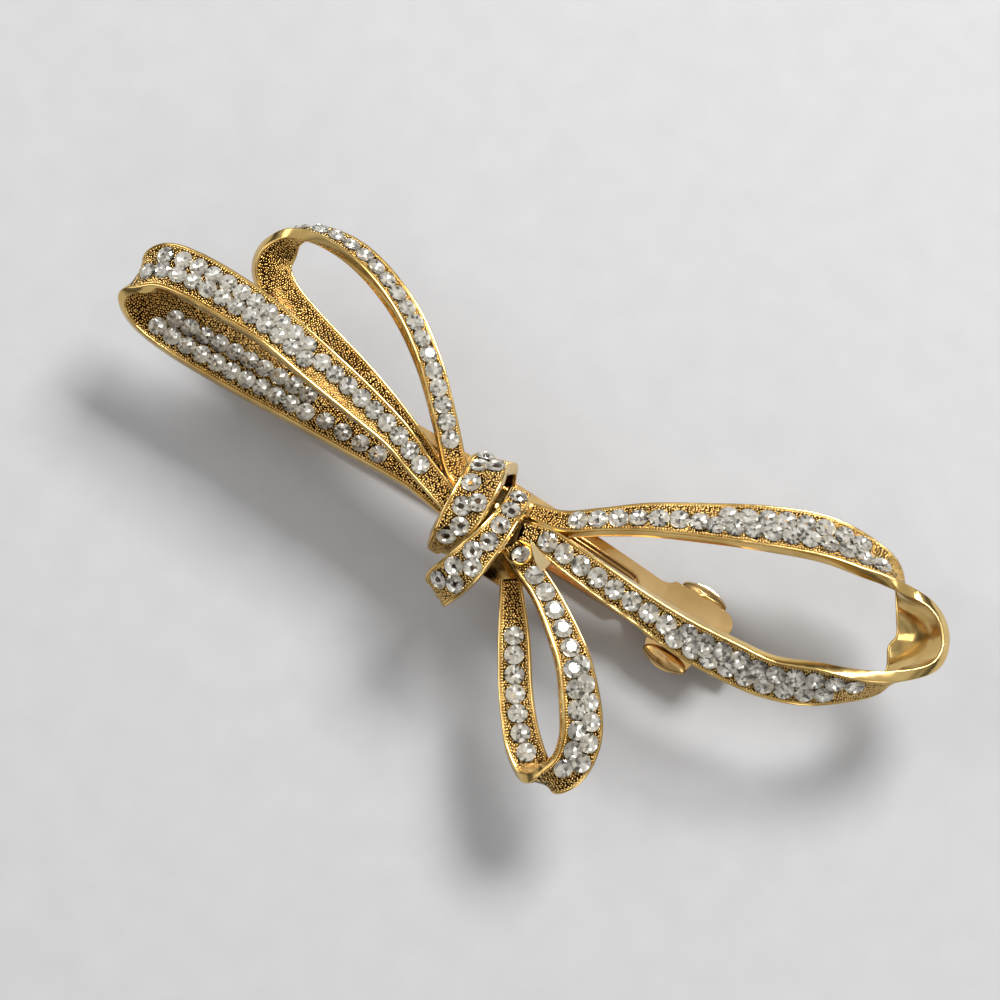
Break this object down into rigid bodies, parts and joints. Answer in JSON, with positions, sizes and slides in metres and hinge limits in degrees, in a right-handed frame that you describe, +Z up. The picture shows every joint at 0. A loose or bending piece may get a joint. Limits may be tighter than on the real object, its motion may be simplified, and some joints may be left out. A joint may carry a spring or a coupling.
{
  "type": "hair barrette",
  "caption": "Gold bow barrette: twisted ribbon loops and a knot set with clear stones, on a sprung clip that opens to clamp a lock of hair.",
  "frame": {"origin": "centre of the footprint of the whole barrette, on the surface that its arm rests on", "axes": "+X along the clip from its hinge to its clasp, +Z up through the bow, +Y across the clip"},
  "size_m": [0.0942, 0.0414, 0.0175],
  "materials": {
    "bow_gold": "antique gold plate, polished rims over dark recesses",
    "polished_gold": "bright polished gold plate",
    "clip_gold": "smooth gold plate on pressed steel",
    "crystal": "clear faceted stone with a silver foil back"
  },
  "bodies": {
    "clip": {"top_plate": "clip_gold", "hinge_pin": "clip_gold", "clasp_saddle": "clip_gold", "clasp_rivet": "clip_gold", "bow_backplate": "bow_gold", "knot_core": "bow_gold", "corner_lozenge": "polished_gold", "stone_cup": "bow_gold", "stone_in_cup": "crystal", "left_loop": "bow_gold", "narrow_loop": "bow_gold", "right_loop": "bow_gold", "small_loop": "bow_gold", "knot_band_upper": "bow_gold", "knot_band_lower": "bow_gold", "left_upper_stones": "crystal", "left_lower_stones": "crystal", "narrow_stones": "crystal", "right_upper_stones": "crystal", "right_lower_stones": "crystal", "small_front_stones": "crystal", "small_back_stones": "crystal", "knot_upper_stone_1": "crystal", "knot_upper_stone_2": "crystal", "knot_upper_stone_3": "crystal", "knot_upper_stone_4": "crystal", "knot_upper_stone_5": "crystal", "knot_upper_stone_6": "crystal", "knot_upper_stone_7": "crystal", "knot_upper_stone_8": "crystal", "knot_lower_stone_1": "crystal", "knot_lower_stone_2": "crystal", "knot_lower_stone_3": "crystal", "knot_lower_stone_4": "crystal", "knot_lower_stone_5": "crystal", "knot_lower_stone_6": "crystal", "knot_lower_stone_7": "crystal", "knot_lower_stone_8": "crystal", "knot_lower_stone_9": "crystal"},
    "arm": {"clasp_arm": "clip_gold"},
    "spring": {"tension_spring": "clip_gold"},
    "wing_left": {"clasp_wing_left": "clip_gold"},
    "wing_right": {"clasp_wing_right": "clip_gold"}
  },
  "joints": [
    {"name": "arm_hinge", "type": "hinge", "parent": "clip", "child": "arm", "pos_m": [-0.03068, 0.00362, 0.0017], "axis": [0, 1, 0], "range_deg": [0, 65]},
    {"name": "spring_swing", "type": "hinge", "parent": "clip", "child": "spring", "pos_m": [-0.03068, 0.00362, 0.0017], "axis": [0, 1, 0], "range_deg": [0, 9.75]},
    {"name": "wing_left_pinch", "type": "hinge", "parent": "clip", "child": "wing_left", "pos_m": [0.02182, 0.00492, 0.004], "axis": [-1, 0, 0], "range_deg": [0, 12], "stiffness_Nm_per_rad": 0.02},
    {"name": "wing_right_pinch", "type": "hinge", "parent": "clip", "child": "wing_right", "pos_m": [0.02182, 0.00232, 0.004], "axis": [1, 0, 0], "range_deg": [0, 12], "stiffness_Nm_per_rad": 0.02}
  ],
  "couplings": [
    {"joint": "spring_swing", "follows": "arm_hinge", "ratio": 0.15}
  ]
}
